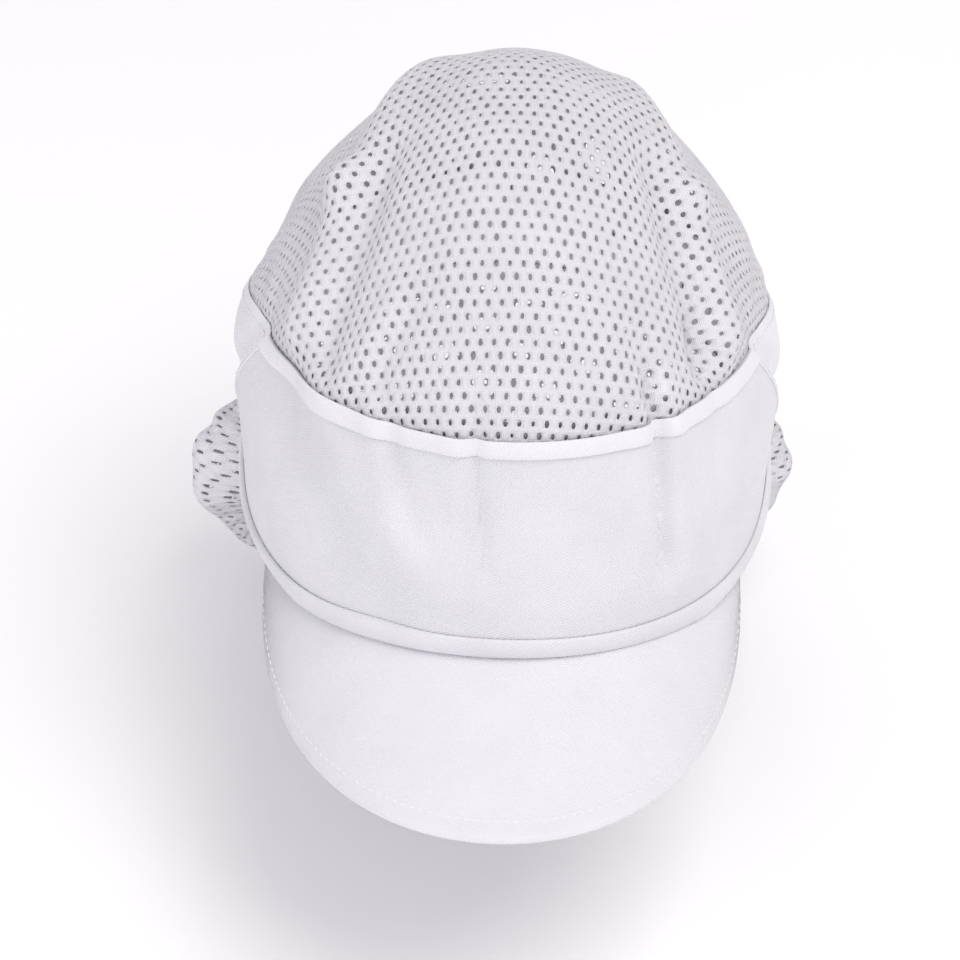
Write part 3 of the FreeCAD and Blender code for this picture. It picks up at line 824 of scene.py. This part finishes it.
def inside_pieces():
    def seam_near(t):
        z = np.full(t.shape, 60.0)
        for _ in range(5):
            at = band_base(t, z)
            z = seam_z(at[..., 0], at[..., 1])
        return z

    def tape_at(u, v, depth):
        t = 180 - 359.4 * (1 - u)
        z = seam_near(t) + (v * 2 - 1) * 5
        return band(t, z, depth)

    tape = cloth_sheet("crown_seam_binding", tape_at, 520, 10, 2.6, 3.2, 2.5, 0.3, 1.6)
    dress(tape, "tape", "cap", "crown_seam_tape")

    def sweat_low(at):
        return np.maximum(arch_z(at[..., 0], at[..., 1], 0.8), 2)

    sweat = cloth_sheet("sweatband_terry", ring_place(-104, 104, sweat_low, 34), 240, 26,
                        2.6, 4.0, 2.5, 0.7)
    dress(sweat, "sweatband", "cap", "sweatband")

    def snood_tape_at(u, v, depth):
        t = 180 + (u * 2 - 1) * 84
        return band(np.where(t > 180, t - 360, t), 0.3 + 7.7 * v, depth)

    snood_tape = cloth_sheet("snood_seam_binding", snood_tape_at, 245, 7.7, 2.6, 3.2, 2.5, 0.3, 1.6)
    dress(snood_tape, "tape", "cap", "snood_seam_tape")
    low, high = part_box("care_label")
    t_low = math.degrees(math.atan2(low.x / MM, -(high.y / MM - AXIS_Y)))
    t_high = math.degrees(math.atan2(high.x / MM, -(low.y / MM - AXIS_Y)))

    def label_at(u, v, depth):
        t = t_low + (t_high - t_low) * (1 - u)
        curl = 0.5 * (1 - v) ** 2
        return band(t, 9 + 18 * v, depth + curl)

    label = cloth_sheet("care_label_blank", label_at, 33, 18, 3.4, 3.7, 1.5, 0.15)
    dress(label, "label", "cap", "care_label")


# ---------------------------------------------------------------- peak: covers, board, edge stitching
PEAK_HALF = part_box("peak_upper_cover")[1].x / MM
PEAK_LONG = 107.0
PEAK_CENTRE_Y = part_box("peak_upper_cover")[0].y / MM + PEAK_LONG
ROOT_HALF, ROOT_LONG = 87.7, 104.7
PEAK_ROOT_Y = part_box("peak_upper_cover")[1].y / MM


def peak_place(inset=0.0, root_gap=0.3, rim=0.0, toward=1):
    """Layout of a layer of the peak: u runs round its edge, v from the cap seam to the free edge."""
    stop = math.acos(np.clip((PEAK_CENTRE_Y - PEAK_ROOT_Y) / PEAK_LONG, -1, 1))

    def place(u, v, depth):
        a = (u * 2 - 1) * stop
        out_x = (PEAK_HALF - inset) * np.sin(a)
        out_y = PEAK_CENTRE_Y - (PEAK_LONG - inset) * np.cos(a)
        in_x = PEAK_HALF * 0.995 * np.sin(a)
        in_y = -(ROOT_LONG + root_gap) * np.sqrt(np.clip(1 - (in_x / (ROOT_HALF + root_gap)) ** 2, 0, 1))
        in_y = np.maximum(in_y, out_y)
        x, y = in_x + (out_x - in_x) * v, in_y + (out_y - in_y) * v
        span = np.hypot(out_x - in_x, out_y - in_y)
        edge = np.minimum(span * (1 - v), 60)
        curl = rim * (1 - np.sqrt(np.clip(1 - (1 - np.clip(edge / 1.6, 0, 1)) ** 2, 0, 1)))
        groove = 0.22 * bump(edge, 6.5, 0.8) * (toward > 0)
        wave = 0.5 * peak_noise.at(x, y)[..., 0] * smooth(0, 12, edge)
        lowered = depth + curl + groove - wave
        z = arch_z(x, y, 0.0)
        lean = np.stack([x / ARCH_RADIUS, -math.sin(PEAK_SLOPE) + 0 * x,
                         np.sqrt(np.clip(1 - (x / ARCH_RADIUS) ** 2, 0.05, 1)) * math.cos(PEAK_SLOPE)], -1)
        return np.stack([x, y, z], -1) - unit(lean) * lowered[..., None]
    return place


peak_noise = noise_field(-120, 120, -200, -20, 34)


def bend(obj, slot, *nodes):
    """A piece of the peak: gives it its material, hides its CAD nodes and bakes its placement into its
    mesh.
    """
    dress(obj, slot, "peak", *nodes)
    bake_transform(obj)


def peak_pieces():
    upper = cloth_sheet("peak_top_cover", peak_place(0, -3.4, 1.45), 260, 62, 0.0, 0.8, 1.8, 0.4)
    board = cloth_sheet("peak_stiffener", peak_place(2.4, -0.4), 250, 58, 0.95, 2.05, 3.0, 0.5)
    under = cloth_sheet("peak_bottom_cover", peak_place(0.25, -3.4, -1.4, -1), 260, 62, 2.2, 3.0, 1.8, 0.4)
    place = peak_place(0, -3.4, 1.45)
    us = np.linspace(0.03, 0.97, 400)
    stop = math.acos(np.clip((PEAK_CENTRE_Y - PEAK_ROOT_Y) / PEAK_LONG, -1, 1))
    a = (us * 2 - 1) * stop
    out = np.stack([PEAK_HALF * np.sin(a), PEAK_CENTRE_Y - PEAK_LONG * np.cos(a)], -1)
    in_x = PEAK_HALF * 0.995 * np.sin(a)
    in_y = -(ROOT_LONG - 3.4) * np.sqrt(np.clip(1 - (in_x / (ROOT_HALF - 3.4)) ** 2, 0, 1))
    in_y = np.maximum(in_y, out[:, 1])
    span = np.maximum(np.hypot(out[:, 0] - in_x, out[:, 1] - in_y), 0.01)
    vs = 1 - 6.5 / span
    good = vs > 0.02
    thread = stitches("peak_topstitch", [line_on(place, us[good], vs[good], 0.06)], 2.0, 1.0, 0.3, 0.24)
    bend(upper, "peak_twill", "peak_upper_cover")
    bend(board, "board", "peak_board")
    bend(under, "peak_twill", "peak_under_cover")
    bend(thread, "thread", "peak_edge_stitching")


# ---------------------------------------------------------------- band topstitching and tacks
def stitch_pieces():
    lines = []
    for sign in (1, -1):
        place = side_place(sign, 0.2, 1.2)
        turn = place if sign > 0 else flipped(place)
        along_u = np.linspace(0.03, 0.99, 200)
        us_side = along_u if sign > 0 else 1 - along_u
        lines.append(line_on(turn, us_side, np.full(200, 1 - 2.6 / 52), -0.05))
        lines.append(line_on(turn, us_side, np.full(200, 3.2 / 52), -0.05))
        up = np.linspace(0.03, 0.97, 120)
        lines.append(line_on(turn, np.full(120, 0.035 if sign > 0 else 0.965), up, -0.05))
    wide = np.linspace(0.01, 0.99, 300)
    lines.append(line_on(nape_place(0.3, NAPE_TOP - 0.2), wide, np.full(300, 0.93), -0.05))
    lines.append(line_on(nape_place(0.3, NAPE_TOP - 0.2), wide, np.full(300, 0.07), -0.05))
    thread = stitches("band_topstitch", lines)
    dress(thread, "thread", "cap", "band_topstitching")
    tack_lines = []
    for sign in (1, -1):
        for foot in (6, 22):
            zz = np.linspace(foot, foot + 9, 15)
            for off in (-0.9, -0.3, 0.3, 0.9):
                t = sign * (NAPE_T - 1.2 + off * 0.55) + 0 * zz
                top = band(t, zz, np.full(15, -0.15))
                low = band(t, zz, np.full(15, 0.4))
                tack_lines.append((top, unit(top - low)))
    tacks = stitches("nape_bar_tacks", tack_lines, 1.5, 0.05, 0.32, 0.3)
    dress(tacks, "thread", "cap", "bar_tacks")


# ---------------------------------------------------------------- crown mesh
def crown_piece():
    shape_crown()

    def keep(points):
        over = points[..., 2] - seam_z(points[..., 0], points[..., 1])
        return over > -3.6

    mesh = lattice("crown_knit_mesh", crown, 0.66, 1.16, keep)
    dress(mesh, "mesh", "cap", "crown_mesh")


# ---------------------------------------------------------------- snood: mesh bag, casing, elastic
SNOOD_TREE = tree_of("snood_mesh", "side_band_left", "side_band_right", "nape_casing")
snood = Fan(SNOOD_TREE, (0, -30, -20), 1, -66, 24, 64, 150)
SNOOD_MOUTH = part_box("snood_hem_casing")[0].y / MM
SNOOD_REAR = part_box("snood_hem_casing")[1].y / MM
snood_noise = noise_field(0, 300, -160, 160, 22)


DRAW = 20.0           # how far the elastic gathers the hem inwards
SNOOD_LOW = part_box("snood_mesh")[0].z / MM


def drawn_in(points):
    """Moves points towards the middle of the snood's mouth, as its elastic pulls them."""
    x, y, z = points[..., 0], points[..., 1], points[..., 2]
    amount = DRAW * (1 - smooth(-4, 11, y - SNOOD_REAR)) * smooth(1, 26, -z)
    away = np.stack([x, 0 * x, z + 36], -1)
    return points - unit(away) * amount[..., None]


def grounded(points):
    """Lifts the lowest parts of the bag softly to the lowest level of its form."""
    rest = SNOOD_LOW + 0.8
    z = rest + 1.5 * np.logaddexp(0, (points[..., 2] - rest) / 1.5)
    return np.stack([points[..., 0], points[..., 1], z], -1)


def shape_snood():
    q, p = np.meshgrid(snood.q_even, snood.p_even, indexing="ij")
    base = snood.base.at(q, p)
    normal = snood.normal(q, p) * snood.outward
    below = -base[..., 2]
    behind = base[..., 1] - SNOOD_REAR
    free = smooth(2, 22, below) * smooth(2, 20, behind)
    d = 1.6 * snood_noise.at(q, p)[..., 0] * free
    t = np.degrees(np.arctan2(base[..., 0], -(base[..., 1] - AXIS_Y)))
    gathers = np.sin(t * 0.62 + 1.8 * snood_noise.at(q * 0.2, p)[..., 0])
    d = d + 1.0 * gathers * bump(below, 12, 12) * smooth(1, 9, below)
    tucks = np.sin(base[..., 2] * 0.42 + 2.0 * snood_noise.at(q, p * 0.2)[..., 0])
    d = d + 0.9 * tucks * bump(behind, 8, 12) * smooth(0, 6, behind + 2) * smooth(6, 18, below)
    side = np.where(base[..., 0] < 0, 12.0, -2.0)
    d = d + side * bump(behind, 10, 15) * bump(below, 60, 32) * smooth(30, 70, abs(base[..., 0]))
    # the top edge is caught between the band's plies
    d = d - 0.95 * (1 - smooth(-0.2, 3, below))
    start = drawn_in(base + normal * d[..., None])
    pins = (below < 1.5) | (behind < 1.0)
    solid = drawn_in(base + normal * (np.minimum(d, 0) - 5)[..., None])
    start = settle(snood, start, pins, solid, 0.012, (0, 0, -1.6), 18, 0.5)
    snood.shape = Field(grounded(start), 0, snood.step, -snood.p_high, snood.step)


def snood_pieces():
    shape_snood()

    def keep(points):
        return (points[..., 2] < 2.2) & (points[..., 1] > SNOOD_REAR - 2.2)

    bag = lattice("snood_knit_bag", snood, 0.64, 1.08, keep)
    casing_tree = tree_of("snood_hem_casing")
    # the line of the casing in its own plane, read off the frame: one lip, round below, the other lip
    turn = np.linspace(-19.5, 199.5, 147)
    rays = np.radians(turn)
    ways = np.stack([np.cos(rays), 0 * rays, -np.sin(rays)], -1)
    feet = np.tile((0, (SNOOD_MOUTH + SNOOD_REAR) / 2, -30), (len(rays), 1))
    rho = cast(casing_tree, feet, ways, 160, 30)
    good = np.isfinite(rho)
    path = feet[good] + ways[good] * rho[good][:, None]
    run = np.concatenate([[0], np.cumsum(np.linalg.norm(np.diff(path, axis=0), axis=1))])
    even = np.linspace(0, run[-1], 90)
    path = np.stack([np.interp(even, run, path[:, c]) for c in range(3)], -1)
    line = Field(path[:, None, :].repeat(2, 1), 0, 1 / 89, 0, 1)

    def casing_at(u, v, depth):
        at = line.at(u, 0 * u)
        ahead = line.at(np.clip(u + 0.004, 0, 1), 0 * u) - line.at(np.clip(u - 0.004, 0, 1), 0 * u)
        out = unit(np.cross(ahead, np.broadcast_to((0.0, 1.0, 0.0), ahead.shape)))
        y = SNOOD_MOUTH + (SNOOD_REAR - SNOOD_MOUTH) * v
        ruffle = 1.3 * np.sin(u * run[-1] * 0.85 + 2 * np.sin(u * 40)) * bump(v, 0.5, 0.45)
        turned = at - out * (depth + 0.6 - ruffle)[..., None]
        turned[..., 1] = y + 0.5 * np.sin(u * run[-1] * 0.42) * (1 - v)
        return drawn_in(turned)

    casing = cloth_sheet("snood_hem_tunnel", casing_at, float(run[-1]), 11, -0.6, 0.1, 1.3, 0.3, 0.9)
    inside = cloth_sheet("snood_hem_inside", casing_at, float(run[-1]), 11, 1.2, 1.8, 1.5, 0.3, 1.2)

    def elastic_at(u, v, depth):
        return casing_at(0.004 + 0.992 * u, 0.2 + 0.6 * v, depth)

    elastic = cloth_sheet("snood_elastic_band", elastic_at, float(run[-1]), 6.5, 0.25, 1.05, 1.8, 0.35, 1.2)
    parts = ((bag, "mesh", "snood_mesh"), (casing, "mesh_hem", "snood_hem_casing"),
             (inside, "mesh_hem", None), (elastic, "elastic", "snood_hem_elastic"))
    for obj, slot, node in parts:
        dress(obj, slot, "snood", *([node] if node else []))
        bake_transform(obj)


# ---------------------------------------------------------------- build every piece
front_pieces()
side_pieces()
nape_pieces()
inside_pieces()
peak_pieces()
stitch_pieces()
crown_piece()
snood_pieces()


# ---------------------------------------------------------------- floor, light and camera
low, high = (Vector(c) for c in CAD_BOX)
centre = (low + high) / 2
REACH = 6.0           # half the floor's side
FLOOR_GAP = 0.0135    # most of the room that the snood needs below it to swing back
floor_z = low.z - FLOOR_GAP
floor_mesh = bpy.data.meshes.new("floor")
floor_mesh.from_pydata([(-REACH, -REACH, floor_z), (REACH, -REACH, floor_z), (REACH, REACH, floor_z),
                        (-REACH, REACH, floor_z)], [], [(0, 1, 2, 3)])
floor = bpy.data.objects.new("floor", floor_mesh)
bpy.context.scene.collection.objects.link(floor)
floor_mat = bpy.data.materials.new("floor_white")
floor_mat.use_nodes = True
floor_shader = floor_mat.node_tree.nodes["Principled BSDF"]
floor_shader.inputs["Base Color"].default_value = (0.985, 0.985, 0.985, 1)
floor_shader.inputs["Roughness"].default_value = 0.9
floor_mesh.materials.append(floor_mat)

world = bpy.data.worlds.new("studio")
bpy.context.scene.world = world
world.use_nodes = True
world.node_tree.nodes["Background"].inputs["Color"].default_value = (0.985, 0.965, 1.0, 1)
world.node_tree.nodes["Background"].inputs["Strength"].default_value = 0.70


def area_light(name, place, size, power, colour, aim):
    data = bpy.data.lights.new(name, "AREA")
    data.shape = "SQUARE"
    data.size = size
    data.energy = power
    data.color = colour
    lamp = bpy.data.objects.new(name, data)
    lamp.location = place
    lamp.rotation_mode = "QUATERNION"
    lamp.rotation_quaternion = (Vector(aim) - Vector(place)).to_track_quat("-Z", "Y")
    bpy.context.scene.collection.objects.link(lamp)


area_light("key", (0.55, -0.35, 1.5), 1.0, 12.0, (1, 0.985, 0.975), centre)
area_light("fill", (-1.5, -0.9, 0.5), 1.4, 7.5, (0.97, 0.95, 1.0), centre)
area_light("front", (0.4, -1.7, 0.2), 1.2, 5.5, (1, 0.97, 0.985), centre)

camera_data = bpy.data.cameras.new("camera")
camera_data.lens = 150
camera_data.sensor_width = 36
camera_data.clip_end = 50
camera = bpy.data.objects.new("camera", camera_data)
bpy.context.scene.collection.objects.link(camera)
ELEVATION, DISTANCE, ROLL = math.radians(41), 1.3, math.radians(1.65)
aim = centre + Vector((-0.0081, 0.0051, -0.0128))
back = Vector((0, -math.cos(ELEVATION), math.sin(ELEVATION)))
camera.location = aim + back * DISTANCE
camera.rotation_mode = "QUATERNION"
look = (-back).to_track_quat("-Z", "Y")
camera.rotation_quaternion = look @ Quaternion((0, 0, 1), ROLL)
bpy.context.scene.camera = camera
bpy.context.scene.view_settings.view_transform = "Standard"
